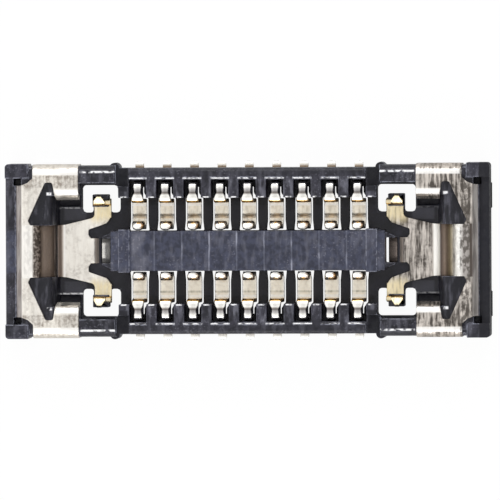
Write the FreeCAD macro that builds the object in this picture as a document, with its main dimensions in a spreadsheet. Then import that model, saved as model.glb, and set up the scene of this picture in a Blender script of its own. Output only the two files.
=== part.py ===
import FreeCAD, Part
import math
import os
import re
import Sketcher

# Low-profile board connector, receptacle half, seen with its mating face up.
# X runs along the contact rows, Y across them, and Z = 0 is the soldering plane.
# Every length is in millimetres.  Lengths named from the row are measured outwards
# from the centre of the last contact, and widths are measured across the centreline.

SIZES = {
    # contact rows
    "pitch": 0.35,
    "contact_count": 9,
    # signal contact: a gold-plated strip formed to an outer hook and a springy inner arm
    "strip": 0.05,
    "tail_span": 2.28,
    "hook_span": 1.756,
    "hook_length": 0.267,
    "hook_height": 0.52,
    "leg_width": 0.11,
    "hook_round": 0.11,
    "neck_width": 0.094,
    "bell_width": 0.153,
    "flat_width": 0.19,
    "flat_rise": 0.03,
    "arm_foot": 0.05,
    "arm_point": 0.107,
    "arm_point_height": 0.34,
    "arm_tip": 0.035,
    "arm_tip_height": 0.415,
    "arm_width": 0.124,
    "tip_width": 0.05,
    "tip_gap": 0.01,
    # housing beside the contact rows
    "wall_span": 2.115,
    "wall_height": 0.55,
    "wall_round": 0.06,
    "rib_gap": 0.016,
    "floor_height": 0.12,
    "pocket_width": 0.22,
    "pocket_gap": 0.0265,
    "pocket_chamfer": 0.03,
    "pocket_floor": 0.2,
    "slot_mouth": 0.254,
    "slot_mouth_length": 0.13,
    "slot_width": 0.226,
    "slot_neck": 0.13,
    "slot_neck_length": 0.075,
    "slot_cover": 0.018,
    "core_width": 0.11,
    # island between the rows
    "island_width": 0.51,
    "island_height": 0.47,
    "island_round": 0.02,
    "island_step_start": 0.104,
    "island_step_end": 0.25,
    "island_step_width": 0.55,
    "island_step_height": 0.49,
    "island_end": 0.345,
    "island_toe": 0.47,
    "island_toe_width": 0.36,
    "island_toe_height": 0.3,
    # housing walls beyond the rows
    "end_length": 1.684,
    "end_wall_start": 0.288,
    "end_wall_span": 2.178,
    "end_wall_height": 0.575,
    "end_wall_round": 0.1,
    "recess_start": 0.104,
    "recess_inner": 0.82,
    "recess_depth": 0.1,
    "notch_bump": 0.065,
    "notch_bump_place": 0.295,
    "corner_start": 1.39,
    "corner_span": 2.225,
    "corner_inner": 0.93,
    "corner_round": 0.045,
    "corner_pocket_start": 1.48,
    "corner_pocket_end": 1.58,
    "corner_pocket_floor": 0.3,
    "end_strip_height": 0.5,
    "end_strip_round": 0.04,
    "end_bump": 0.012,
    "end_bump_inner": 0.53,
    "end_bump_outer": 0.85,
    "end_bump_height": 0.08,
    "block_foot": 1.02,
    "block_brow": 1.09,
    "block_round": 0.07,
    "bed_inner": 0.57,
    "bed_groove_floor": 0.06,
    # U-shaped openings round the power contacts
    "opening_start": 0.242,
    "opening_end": 0.727,
    "opening_inner": 0.487,
    "opening_outer": 0.836,
    "opening_leg": 0.14,
    "opening_band": 0.117,
    "opening_round": 0.05,
    "opening_rim": 0.03,
    "post_inner": 0.56,
    "post_height": 0.3,
    # end fitting: one stamped and folded sheet
    "sheet": 0.06,
    "sheet_bend": 0.06,
    "top_height": 0.6,
    "wrap_span": 2.21,
    "wrap_start": 0.75,
    "wrap_end": 1.333,
    "wrap_inner": 0.7,
    "wrap_lean": 0.05,
    "wrap_lip_height": 0.3,
    "flange_place": 1.557,
    "flange_foot": 0.1,
    "flange_width": 1.68,
    "shoulder_end": 1.48,
    "shoulder_mid": 1.4,
    "shoulder_reach": 0.93,
    "ramp_top": 1.26,
    "ramp_foot": 1.01,
    "tongue_width": 0.664,
    "tongue_end": 0.66,
    "window_tip": 1.079,
    "window_tip_length": 0.095,
    "window_reach": 0.876,
    "window_corner": 1.393,
    "window_corner_reach": 0.39,
    "window_inner": 1.047,
    "window_round": 0.03,
    "tab_width": 0.318,
    "tab_root": 0.62,
    "tab_brow": 0.56,
    "tab_foot": 0.49,
    "tab_end": 0.377,
    # power contact arms, part of the end fitting
    "power_start": 0.355,
    "power_width": 0.217,
    "power_root": 0.424,
    "power_face": 0.6,
    "power_lean": 0.02,
    "power_point_height": 0.4,
    "power_tip": 0.69,
    "power_tip_height": 0.47,
    "power_tip_width": 0.06,
    "petal_width": 0.15,
    "arm_round": 0.12,
    "crotch_root": 0.403,
    "crotch_place": 0.65,
    "crotch_reach": 0.23,
    "crotch_round": 0.03,
}

ROW_END = "((contact_count - 1) * pitch / 2)"
CONTACT_FOOT = "(island_width / 2 + tip_gap + strip)"
SPRING_FACE = "(hook_span / 2 - hook_length)"
PLATE_TOP = "(floor_height + sheet)"
OUTER_BEND = "sheet_bend + sheet"
FLAT = 1e-6
COVERED_WALL = "wrap_inner - wrap_lean + sheet"

document = FreeCAD.newDocument("BoardConnector")
sheet = document.addObject("Spreadsheet::Sheet", "Sizes")
for row, (alias, millimetres) in enumerate(SIZES.items(), start=1):
    sheet.set(f"A{row}", alias)
    sheet.set(f"B{row}", str(millimetres))
    sheet.setAlias(f"B{row}", alias)
document.recompute()


def formula(text):
    """An expression in which every size name points at its cell of the sheet."""
    return re.sub(r"[a-z_]{3,}", lambda word: refer(word.group()), str(text))


def refer(word):
    return "Sizes." + word if word in SIZES else word


def value(text):
    return float(sheet.evalExpression(formula(text)))


def bind(item, prop, text):
    item.setExpression(prop, formula(text))


def new_sketch(body, name, plane, offset="0"):
    """A sketch on one of the body's own origin planes, moved along that plane's normal."""
    sketch = body.newObject("Sketcher::SketchObject", name)
    origin_plane = [item for item in body.Origin.OriginFeatures if item.Role == plane][0]
    sketch.AttachmentSupport = (origin_plane, [""])
    sketch.MapMode = "FlatFace"
    bind(sketch, ".AttachmentOffset.Base.z", offset)
    return sketch


def rounded(before, corner, after, radius):
    """The arc of this radius that rounds a corner, from its first to its last point."""
    to_before = (before - corner).normalize()
    to_after = (after - corner).normalize()
    half_angle = to_before.getAngle(to_after) / 2
    reach = radius / math.tan(half_angle)
    centre = corner + (to_before + to_after).normalize() * (radius / math.sin(half_angle))
    return centre, corner + to_before * reach, corner + to_after * reach


def turns_left(before, corner, after):
    return (corner - before).cross(after - corner).z > 0


def arc_geometry(centre, first, last, radius, left):
    """The arc, with the numbers of the end that comes first and the end that comes last."""
    circle = Part.Circle(centre, FreeCAD.Vector(0, 0, 1), radius)
    if left:
        return Part.ArcOfCircle(circle, circle.parameter(first), circle.parameter(last)), 1, 2
    return Part.ArcOfCircle(circle, circle.parameter(last), circle.parameter(first)), 2, 1


class Outline:
    """Straight runs through named corners, some of them rounded by tangent arcs."""

    def __init__(self, sketch, corners, closed=True):
        self.sketch = sketch
        self.corners = [FreeCAD.Vector(value(corner[0]), value(corner[1]), 0) for corner in corners]
        self.radii = [corner[2] if len(corner) > 2 else None for corner in corners]
        self.closed = closed
        self.lines = []
        self.arcs = {}
        self.draw_runs()
        self.hold_corners(corners)

    def neighbours(self, place):
        count = len(self.corners)
        return self.corners[(place - 1) % count], self.corners[place], self.corners[(place + 1) % count]

    def draw_runs(self):
        count = len(self.corners)
        leave = list(self.corners)
        reach = list(self.corners)
        shapes = {}
        for place, radius in enumerate(self.radii):
            if radius is None:
                continue
            number = value(radius)
            before, corner, after = self.neighbours(place)
            centre, reach[place], leave[place] = rounded(before, corner, after, number)
            left = turns_left(before, corner, after)
            shapes[place] = arc_geometry(centre, reach[place], leave[place], number, left)
        for place in range(count if self.closed else count - 1):
            run = Part.LineSegment(leave[place], reach[(place + 1) % count])
            self.lines.append(self.sketch.addGeometry(run))
        for place, (arc, first, last) in shapes.items():
            self.arcs[place] = (self.sketch.addGeometry(arc), first, last)

    def hold_corners(self, corners):
        """Every corner keeps its two distances from the origin, and every arc its radius."""
        rules = []
        sizes = []
        for place, radius in enumerate(self.radii):
            before = self.lines[place - 1] if place > 0 or self.closed else None
            after = self.lines[place] if place < len(self.lines) else None
            if radius is None:
                holder, end = (after, 1) if after is not None else (before, 2)
                if before is not None and after is not None:
                    rules.append(Sketcher.Constraint("Coincident", before, 2, after, 1))
            else:
                holder, end = self.sketch.addGeometry(Part.Point(self.corners[place]), True), 1
                arc, first, last = self.arcs[place]
                rules.append(Sketcher.Constraint("PointOnObject", holder, 1, before))
                rules.append(Sketcher.Constraint("PointOnObject", holder, 1, after))
                rules.append(Sketcher.Constraint("Tangent", before, 2, arc, first))
                rules.append(Sketcher.Constraint("Tangent", arc, last, after, 1))
                sizes.append((len(rules), radius))
                rules.append(Sketcher.Constraint("Radius", arc, value(radius)))
            for axis, text in (("DistanceX", corners[place][0]), ("DistanceY", corners[place][1])):
                sizes.append((len(rules), text))
                rules.append(Sketcher.Constraint(axis, -1, 1, holder, end, value(text)))
        self.add_rules(rules, sizes)

    def add_rules(self, rules, sizes):
        first_rule = self.sketch.ConstraintCount
        self.sketch.addConstraint(rules)
        for number, text in sizes:
            bind(self.sketch, f"Constraints[{first_rule + number}]", text)


class Strip(Outline):
    """A bent strip seen edge on: its given face, and a parallel face to the left of the way it runs."""

    def __init__(self, sketch, corners, thickness):
        super().__init__(sketch, corners, closed=False)
        self.thickness = thickness
        self.draw_other_face()

    def other_corner(self, place):
        """The mitre point of the second face beside a corner of the first."""
        count = len(self.corners)
        step = value(self.thickness)
        directions = []
        if place > 0:
            directions.append((self.corners[place] - self.corners[place - 1]).normalize())
        if place < count - 1:
            directions.append((self.corners[place + 1] - self.corners[place]).normalize())
        sides = [FreeCAD.Vector(-way.y, way.x, 0) for way in directions]
        if len(sides) == 1:
            return self.corners[place] + sides[0] * step
        return self.corners[place] + (sides[0] + sides[1]) * (step / (1 + sides[0].dot(sides[1])))

    def draw_other_face(self):
        """Parallel runs, with arcs about the same centres. A fold is sharp where its arc would vanish."""
        count = len(self.corners)
        step = value(self.thickness)
        others = [self.other_corner(place) for place in range(count)]
        leave = list(others)
        reach = list(others)
        rules = []
        sizes = []
        arcs = {}
        for place in range(1, count - 1):
            if self.radii[place] is None:
                continue
            left = turns_left(*self.neighbours(place))
            number = value(self.radii[place]) + (-step if left else step)
            if number < FLAT:
                continue
            centre, reach[place], leave[place] = rounded(others[place - 1], others[place], others[place + 1], number)
            arc, first, last = arc_geometry(centre, reach[place], leave[place], number, left)
            arcs[place] = (self.sketch.addGeometry(arc), first, last)
            rules.append(Sketcher.Constraint("Coincident", arcs[place][0], 3, self.arcs[place][0], 3))
        lines = []
        for place in range(count - 1):
            line = self.sketch.addGeometry(Part.LineSegment(leave[place], reach[place + 1]))
            lines.append(line)
            rules.append(Sketcher.Constraint("Parallel", line, self.lines[place]))
        for place in range(1, count - 1):
            if place in arcs:
                arc, first, last = arcs[place]
                rules.append(Sketcher.Constraint("Tangent", lines[place - 1], 2, arc, first))
                rules.append(Sketcher.Constraint("Tangent", arc, last, lines[place], 1))
                continue
            rules.append(Sketcher.Constraint("Coincident", lines[place - 1], 2, lines[place], 1))
            if place in self.arcs:
                rules.append(Sketcher.Constraint("PointOnObject", self.arcs[place][0], 3, lines[place]))
            else:
                sizes.append((len(rules), self.thickness))
                rules.append(Sketcher.Constraint("Distance", lines[place], 2, self.lines[place], step))
        ends = ((self.lines[0], 1, self.corners[0], lines[0], others[0]),
                (self.lines[-1], 2, self.corners[-1], lines[-1], others[-1]))
        for face, end, start_point, other, end_point in ends:
            cap = self.sketch.addGeometry(Part.LineSegment(start_point, end_point))
            rules.append(Sketcher.Constraint("Coincident", cap, 1, face, end))
            rules.append(Sketcher.Constraint("Coincident", cap, 2, other, end))
            rules.append(Sketcher.Constraint("Perpendicular", cap, face))
        sizes.append((len(rules), self.thickness))
        rules.append(Sketcher.Constraint("Distance", lines[0], 1, self.lines[0], step))
        self.add_rules(rules, sizes)


def add_circle(sketch, x, y, radius):
    circle = Part.Circle(FreeCAD.Vector(value(x), value(y), 0), FreeCAD.Vector(0, 0, 1), value(radius))
    geometry = sketch.addGeometry(circle)
    rules = (("DistanceX", (-1, 1, geometry, 3), x), ("DistanceY", (-1, 1, geometry, 3), y), ("Radius", (geometry,), radius))
    for kind, held, text in rules:
        number = sketch.addConstraint(Sketcher.Constraint(kind, *held, value(text)))
        bind(sketch, f"Constraints[{number}]", text)


def pad(body, sketch, name, length, symmetric=False, backward=False):
    feature = body.newObject("PartDesign::Pad", name)
    feature.Profile = (sketch, [""])
    feature.SideType = "Symmetric" if symmetric else "One side"
    feature.Reversed = backward
    bind(feature, "Length", length)
    sketch.Visibility = False
    return feature


def pocket(body, sketch, name, depth, symmetric=False, upward=False):
    feature = body.newObject("PartDesign::Pocket", name)
    feature.Profile = (sketch, [""])
    feature.SideType = "Symmetric" if symmetric else "One side"
    feature.Reversed = upward
    bind(feature, "Length", depth)
    sketch.Visibility = False
    return feature


def mirror(body, features, name, plane):
    copy = body.newObject("PartDesign::Mirrored", name)
    copy.Originals = features
    origin_plane = [item for item in body.Origin.OriginFeatures if item.Role == plane][0]
    copy.MirrorPlane = (origin_plane, [""])
    body.Tip = copy
    return copy


def signal_contact(name):
    """The contact at one end of a row, formed across the rows and stamped to its outline."""
    body = document.addObject("PartDesign::Body", name)
    body.Label = name
    profile = new_sketch(body, name + "_profile", "YZ_Plane")
    Strip(profile, (
        ("tail_span / 2", "strip"),
        ("hook_span / 2", "strip"),
        ("hook_span / 2", "hook_height", "hook_round"),
        (SPRING_FACE, "hook_height", "hook_round"),
        (SPRING_FACE, "flat_rise + strip"),
        (CONTACT_FOOT + " + arm_foot - strip", "flat_rise + strip"),
        (CONTACT_FOOT + " + arm_point - strip", "arm_point_height", "strip"),
        (CONTACT_FOOT + " + arm_tip - strip", "arm_tip_height"),
    ), "strip")
    pad(body, profile, name + "_strip", "flat_width", symmetric=True)
    edge = new_sketch(body, name + "_edge", "XY_Plane")
    hook_flat = "(hook_span / 2 - hook_round)"
    bell_flat = f"({SPRING_FACE} + hook_round)"
    Outline(edge, (
        ("flat_width", "tail_span"),
        ("leg_width / 2", "tail_span"),
        ("leg_width / 2", hook_flat),
        ("neck_width / 2", f"({hook_flat} + {bell_flat}) / 2"),
        ("bell_width / 2", bell_flat),
        ("bell_width / 2", SPRING_FACE),
        ("flat_width / 2", f"{SPRING_FACE} - strip"),
        ("flat_width / 2", f"{CONTACT_FOOT} + arm_point + strip"),
        ("arm_width / 2", f"{CONTACT_FOOT} + arm_point"),
        ("arm_width / 2", "0"),
        ("flat_width", "0"),
    ))
    tip = new_sketch(body, name + "_tip_outline", "XY_Plane", "arm_point_height - 2 * strip")
    Outline(tip, (
        ("flat_width", f"{CONTACT_FOOT} + arm_tip"),
        ("arm_width / 2", f"{CONTACT_FOOT} + arm_tip"),
        ("tip_width / 2", f"{CONTACT_FOOT} - strip"),
        ("tip_width / 2", "0"),
        ("flat_width", "0"),
    ))
    sides = [
        pocket(body, edge, name + "_stamped_edge", "2 * hook_height", symmetric=True),
        pocket(body, tip, name + "_tip", "hook_height", upward=True),
    ]
    mirror(body, sides, name + "_other_edge", "YZ_Plane")
    return body


def copy_of(original, name, turned):
    """The same formed piece again, in a place of its own."""
    body = document.addObject("PartDesign::Body", name)
    body.Label = name
    base = body.newObject("PartDesign::FeatureBase", name + "_form")
    base.BaseFeature = original
    body.Tip = base
    turn = 180 if turned else 0
    body.Placement = FreeCAD.Placement(FreeCAD.Vector(), FreeCAD.Rotation(FreeCAD.Vector(0, 0, 1), turn))
    return body


def contact_rows():
    """Both rows of signal contacts, the second turned round to face the first."""
    contacts = []
    form = signal_contact("contact_form")
    for row, turned in (("a", False), ("b", True)):
        for place in range(SIZES["contact_count"]):
            contact = copy_of(form, f"contact_{row}{place + 1}", turned)
            bind(contact, ".Placement.Base.x", f"{place} * pitch - {ROW_END}")
            contacts.append(contact)
    return contacts


def end_fitting(name):
    """The sheet that shields one end, with its solder legs and two power contact arms."""
    body = document.addObject("PartDesign::Body", name)
    body.Label = name
    flange = new_sketch(body, name + "_flange_profile", "XZ_Plane")
    Strip(flange, (
        ("flange_place", "flange_foot"),
        ("flange_place", "top_height", OUTER_BEND),
        ("wrap_end", "top_height"),
    ), "sheet")
    pad(body, flange, name + "_flange", "flange_width", symmetric=True)
    tongue = new_sketch(body, name + "_tongue_profile", "XZ_Plane")
    Strip(tongue, (
        ("flange_place - sheet - sheet_bend", "top_height"),
        ("ramp_top", "top_height", OUTER_BEND),
        ("ramp_foot", PLATE_TOP, OUTER_BEND),
        ("tongue_end", PLATE_TOP),
    ), "sheet")
    pad(body, tongue, name + "_tongue", "tongue_width", symmetric=True)
    tab = new_sketch(body, name + "_tab_profile", "XZ_Plane")
    Strip(tab, (
        ("tongue_end + sheet", PLATE_TOP),
        ("tab_brow", PLATE_TOP, "sheet"),
        ("tab_foot", "sheet"),
        ("tab_end", "sheet"),
    ), "sheet")
    pad(body, tab, name + "_tab", "tab_width", symmetric=True)
    halves = [
        shoulder(body, name),
        side_wrap(body, name),
        contact_plate(body, name),
        power_arm(body, name),
        petal_edge(body, name),
        window(body, name),
    ]
    mirror(body, halves, name + "_other_side", "XZ_Plane")
    return body


def shoulder(body, name):
    """The flat top that joins the end flange to the side."""
    sketch = new_sketch(body, name + "_shoulder_outline", "XY_Plane", "top_height - sheet")
    Outline(sketch, (
        ("window_inner", "tongue_width / 2"),
        ("shoulder_end", "tongue_width / 2"),
        ("shoulder_end", "flange_width / 2"),
        ("shoulder_mid", "flange_width / 2 + (shoulder_reach - flange_width / 2) / 3", "sheet"),
        ("wrap_end", "shoulder_reach"),
        ("window_inner", "shoulder_reach"),
    ))
    return pad(body, sketch, name + "_shoulder", "sheet")


def side_wrap(body, name):
    """The part folded over the side wall: solder leg outside, lip inside."""
    sketch = new_sketch(body, name + "_wrap_profile", "YZ_Plane", "wrap_start")
    Strip(sketch, (
        ("wrap_span / 2", "0"),
        ("wrap_span / 2", "top_height", OUTER_BEND),
        ("wrap_inner", "top_height", OUTER_BEND),
        ("wrap_inner - wrap_lean", "wrap_lip_height"),
    ), "sheet")
    return pad(body, sketch, name + "_wrap", "wrap_end - wrap_start")


def contact_plate(body, name):
    """Half of the plate on the housing floor, out to the root of its power contact arm."""
    sketch = new_sketch(body, name + "_plate_outline", "XY_Plane", "floor_height")
    outer = "(power_start + power_width)"
    Outline(sketch, (
        ("ramp_foot - sheet", "0"),
        ("ramp_foot - sheet", "tongue_width / 2"),
        (outer, "power_root", "sheet"),
        (outer, "power_face - sheet"),
        ("power_start", "power_face - sheet"),
        ("power_start", "crotch_root", "arm_round"),
        ("crotch_place", "crotch_reach + crotch_round", "crotch_round"),
        ("crotch_place", "crotch_reach - crotch_round", "crotch_round"),
        ("tab_root", "tab_width / 2"),
        ("tab_root", "0"),
    ))
    return pad(body, sketch, name + "_plate", "sheet")


def power_arm(body, name):
    """The arm bent up from the plate, its contact point towards the middle of the socket."""
    sketch = new_sketch(body, name + "_arm_profile", "YZ_Plane", "power_start")
    Strip(sketch, (
        ("power_tip", "power_tip_height"),
        ("power_face - power_lean", "power_point_height", "sheet"),
        ("power_face", PLATE_TOP),
        ("power_face - 3 * sheet", PLATE_TOP),
    ), "sheet")
    return pad(body, sketch, name + "_arm", "power_width")


def petal_edge(body, name):
    """The arm narrows to a petal, set towards the outer edge of the arm."""
    sketch = new_sketch(body, name + "_petal_outline", "XY_Plane", "power_point_height - sheet")
    outer = "(power_start + power_width)"
    inner = "(power_start + power_width - petal_width)"
    middle = "(power_start + power_width - petal_width / 2)"
    Outline(sketch, (
        ("power_start - sheet", "power_face - 2 * sheet"),
        (inner, "power_face - 2 * sheet"),
        (inner, "power_tip - sheet"),
        (middle + " - power_tip_width / 2", "power_tip"),
        (middle + " - power_tip_width / 2", "power_tip + sheet / 2"),
        (middle + " + power_tip_width / 2", "power_tip + sheet / 2"),
        (middle + " + power_tip_width / 2", "power_tip"),
        (outer, "power_tip - sheet"),
        (outer + " + sheet", "power_tip - sheet"),
        (outer + " + sheet", "power_tip + sheet"),
        ("power_start - sheet", "power_tip + sheet"),
    ))
    return pocket(body, sketch, name + "_petal", "top_height", upward=True)


def window(body, name):
    """The three-sided hole between tongue, flange and side, open to the middle."""
    sketch = new_sketch(body, name + "_window_outline", "XY_Plane")
    Outline(sketch, (
        ("window_inner", "tongue_width / 2"),
        ("window_inner", "wrap_inner"),
        ("window_tip", "window_reach", "window_round"),
        ("window_tip + window_tip_length", "window_reach", "window_round"),
        ("window_corner", "window_corner_reach", "window_round"),
        ("window_corner - window_round", "tongue_width / 2"),
    ))
    return pocket(body, sketch, name + "_window", "top_height", upward=True)


def beyond_row(length):
    """A place along X, given outwards from the centre of the last contact."""
    return f"{ROW_END} + {length}"


def plan(body, name, corners, offset="0"):
    """An outline in plan, with its lengths given from the last contact."""
    sketch = new_sketch(body, name, "XY_Plane", offset)
    Outline(sketch, [(beyond_row(corner[0]), *corner[1:]) for corner in corners])
    return sketch


def box(start, end, inner, outer):
    return (start, inner), (end, inner), (end, outer), (start, outer)


def housing_form():
    """The moulding as if the metal were not in it."""
    body = document.addObject("PartDesign::Body", "housing_form")
    floor = new_sketch(body, "floor_outline", "XY_Plane")
    end_face = f"({ROW_END} + end_length)"
    Outline(floor, (
        (f"-{end_face}", "-wall_span / 2"),
        (end_face, "-wall_span / 2"),
        (end_face, "wall_span / 2"),
        (f"-{end_face}", "wall_span / 2"),
    ))
    pad(body, floor, "floor", "floor_height")
    row_walls(body)
    island(body)
    mirror(body, end_block(body) + island_end(body), "other_end", "YZ_Plane")
    corner = end_wall(body) + corner_post(body) + power_opening(body)
    mirror_twice(body, corner, "other_corners")
    contact_pockets(body)
    return body


def mirror_twice(body, features, name):
    """The features of one corner, repeated in the other three."""
    across = mirror(body, [], name + "_across", "XZ_Plane")
    along = mirror(body, [], name + "_along", "YZ_Plane")
    both = body.newObject("PartDesign::MultiTransform", name)
    both.Transformations = [across, along]
    both.Originals = features
    body.Tip = both


def row_walls(body):
    """The walls that hold the signal contacts, cut into ribs afterwards."""
    sketch = new_sketch(body, "row_wall_profile", "YZ_Plane")
    for side in (1, -1):
        Outline(sketch, (
            (f"{side} * ({SPRING_FACE} + strip + rib_gap)", "0"),
            (f"{side} * wall_span / 2", "0"),
            (f"{side} * wall_span / 2", "wall_height", "wall_round"),
            (f"{side} * ({SPRING_FACE} + strip + rib_gap)", "wall_height"),
        ))
    pad(body, sketch, "row_walls", f"2 * ({ROW_END} + end_wall_start)", symmetric=True)


def island(body):
    """The bar between the rows, which enters the mating plug."""
    sketch = new_sketch(body, "island_profile", "YZ_Plane")
    Outline(sketch, (
        ("-island_width / 2", "0"),
        ("island_width / 2", "0"),
        ("island_width / 2", "island_height", "island_round"),
        ("-island_width / 2", "island_height", "island_round"),
    ))
    pad(body, sketch, "island", f"2 * ({ROW_END} + island_end)", symmetric=True)


def island_end(body):
    """The island's stepped end, its tapered toe and the opening for the fitting's tab."""
    step = plan(body, "island_step_outline", box(
        "island_step_start", "island_step_end", "-island_step_width / 2", "island_step_width / 2"))
    toe = plan(body, "island_toe_outline", (
        ("island_step_end", "-island_step_width / 2"),
        ("island_toe", "-island_toe_width / 2"),
        ("island_toe", "island_toe_width / 2"),
        ("island_step_end", "island_step_width / 2"),
    ))
    slot = plan(body, "tab_opening_outline", box(
        "island_end", "tab_foot", "-tab_width / 2", "tab_width / 2"))
    return [
        pad(body, step, "island_step", "island_step_height"),
        pad(body, toe, "island_toe", "island_toe_height"),
        pocket(body, slot, "tab_opening", "top_height", upward=True),
    ]


def end_block(body):
    """The block that carries the fitting, with a bed for its ramp and a strip outside its flange."""
    sketch = new_sketch(body, "end_block_profile", "XZ_Plane")
    Outline(sketch, (
        (beyond_row("block_foot"), "0"),
        (beyond_row("end_length"), "0"),
        (beyond_row("end_length"), "end_strip_height", "end_strip_round"),
        (beyond_row("flange_place"), "end_strip_height"),
        (beyond_row("flange_place"), "top_height - sheet"),
        (beyond_row("block_brow"), "top_height - sheet", "block_round"),
        (beyond_row("block_foot"), "floor_height"),
    ))
    bed = new_sketch(body, "ramp_bed_profile", "XZ_Plane")
    Outline(bed, (
        (beyond_row("flange_place"), "top_height"),
        (beyond_row("ramp_top"), "top_height", OUTER_BEND),
        (beyond_row("ramp_foot"), PLATE_TOP, OUTER_BEND),
        (beyond_row("tongue_end"), PLATE_TOP),
        (beyond_row("tongue_end"), "2 * top_height"),
        (beyond_row("flange_place"), "2 * top_height"),
    ))
    return [
        pad(body, sketch, "end_block", "wall_span", symmetric=True),
        pocket(body, bed, "ramp_bed", "tongue_width", symmetric=True),
    ]


def end_wall(body):
    """The thicker wall beyond the row: bare at first, then under the fitting."""
    spans = (
        ("bare_wall", "end_wall_start", "wrap_start", "opening_outer + opening_rim", "end_wall_height"),
        ("covered_wall", "wrap_start", "corner_start", COVERED_WALL, "top_height - sheet"),
    )
    features = []
    for name, start, stop, inner, height in spans:
        sketch = new_sketch(body, name + "_profile", "YZ_Plane", beyond_row(start))
        Outline(sketch, (
            (inner, "0"),
            ("end_wall_span / 2", "0"),
            ("end_wall_span / 2", height, "end_wall_round"),
            (inner, height),
        ))
        features.append(pad(body, sketch, name, f"{stop} - {start}"))
    bump = new_sketch(body, "notch_bump_outline", "XY_Plane")
    add_circle(bump, beyond_row("notch_bump_place"), "wall_span / 2", "notch_bump")
    recess = plan(body, "recess_outline", box("recess_start", "end_wall_start", "recess_inner", "wall_span"),
                  "wall_height")
    groove = plan(body, "bed_groove_outline", box("wrap_start", "block_foot", "bed_inner", COVERED_WALL),
                  "floor_height")
    return features + [
        pad(body, bump, "notch_bump", "wall_height - recess_depth"),
        pocket(body, recess, "recess", "recess_depth"),
        pocket(body, groove, "bed_groove", "floor_height - bed_groove_floor"),
    ]


def corner_post(body):
    """The raised corner, the pocket beside it and the bump low on the end face."""
    post = plan(body, "corner_outline", (
        ("corner_start", "corner_inner"),
        ("end_length", "corner_inner"),
        ("end_length", "corner_span / 2", "corner_round"),
        ("corner_start", "corner_span / 2"),
    ))
    hollow = plan(body, "corner_pocket_outline", box(
        "corner_pocket_start", "corner_pocket_end", "flange_width / 2", "corner_inner"), "top_height")
    bump = plan(body, "end_bump_outline", box(
        "end_length - end_bump", "end_length + end_bump", "end_bump_inner", "end_bump_outer"))
    return [
        pad(body, post, "corner_post", "top_height"),
        pocket(body, hollow, "corner_pocket", "top_height - corner_pocket_floor"),
        pad(body, bump, "end_bump", "end_bump_height"),
    ]


def power_opening(body):
    """The post behind a power contact arm, and the U-shaped opening that frees the arm."""
    leg_start = "opening_start + opening_leg"
    leg_end = "opening_end - opening_leg"
    band = "opening_outer - opening_band"
    post = plan(body, "post_outline", box(leg_start, leg_end, "post_inner", band))
    opening = plan(body, "opening_outline", (
        ("opening_start", "opening_inner"),
        ("opening_start", "opening_outer", "opening_round"),
        ("opening_end", "opening_outer", "opening_round"),
        ("opening_end", "opening_inner"),
        (leg_end, "opening_inner"),
        (leg_end, band),
        (leg_start, band),
        (leg_start, "opening_inner"),
    ))
    return [
        pad(body, post, "post", "post_height"),
        pocket(body, opening, "power_opening", "top_height", upward=True),
    ]


def contact_pockets(body):
    """For each contact, a pocket in the wall, a core in its hook and a slot through the floor."""
    first = f"(-{ROW_END})"
    pocket_edge = "(hook_span / 2 + pocket_gap)"
    sketch = new_sketch(body, "pocket_profile", "YZ_Plane", first)
    for side in (1, -1):
        Outline(sketch, (
            (f"{side} * ({CONTACT_FOOT} + arm_point)", "pocket_floor"),
            (f"{side} * {pocket_edge}", "pocket_floor"),
            (f"{side} * {pocket_edge}", "wall_height - pocket_chamfer"),
            (f"{side} * ({pocket_edge} + pocket_chamfer)", "wall_height"),
            (f"{side} * ({pocket_edge} + pocket_chamfer)", "2 * wall_height"),
            (f"{side} * ({CONTACT_FOOT} + arm_point)", "2 * wall_height"),
        ))
    features = [pocket(body, sketch, "wall_pocket", "pocket_width", symmetric=True)]
    core = new_sketch(body, "hook_core_outline", "XY_Plane", "pocket_floor")
    slot = new_sketch(body, "floor_slot_outline", "XY_Plane")
    slot_end = "(hook_span / 2 - strip - slot_cover)"
    slot_corners = (
        ("slot_mouth", "island_width / 2"),
        ("slot_width", "island_width / 2 + slot_mouth_length"),
        ("slot_width", f"{SPRING_FACE} + strip"),
        ("slot_neck", f"{slot_end} - slot_neck_length"),
        ("slot_neck", slot_end),
    )
    for side in (1, -1):
        Outline(core, [(f"{first} + {edge} * core_width / 2", f"{side} * ({place})") for edge, place in (
            (-1, f"{SPRING_FACE} + strip"), (1, f"{SPRING_FACE} + strip"),
            (1, "hook_span / 2 - strip"), (-1, "hook_span / 2 - strip"))])
        right = [(f"{first} + {width} / 2", f"{side} * ({place})") for width, place in slot_corners]
        left = [(f"{first} - {width} / 2", f"{side} * ({place})") for width, place in slot_corners]
        Outline(slot, right + left[::-1])
    features += [
        pocket(body, slot, "floor_slot", "pocket_floor", upward=True),
        pad(body, core, "hook_core", "hook_height - hook_round - pocket_floor"),
    ]
    pattern = body.newObject("PartDesign::LinearPattern", "pocket_row")
    pattern.Originals = features
    x_axis = [item for item in body.Origin.OriginFeatures if item.Role == "X_Axis"][0]
    pattern.Direction = (x_axis, [""])
    bind(pattern, "Length", f"2 * {ROW_END}")
    bind(pattern, "Occurrences", "contact_count")
    body.Tip = pattern


def insert_moulded(plastic, metal):
    """The housing as moulded round the metal, so that every embedded face fits its seat."""
    inserts = document.addObject("Part::Compound", "inserts")
    inserts.Links = metal
    housing = document.addObject("Part::Cut", "housing")
    housing.Label = "housing"
    housing.Base = plastic
    housing.Tool = inserts
    return housing


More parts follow.
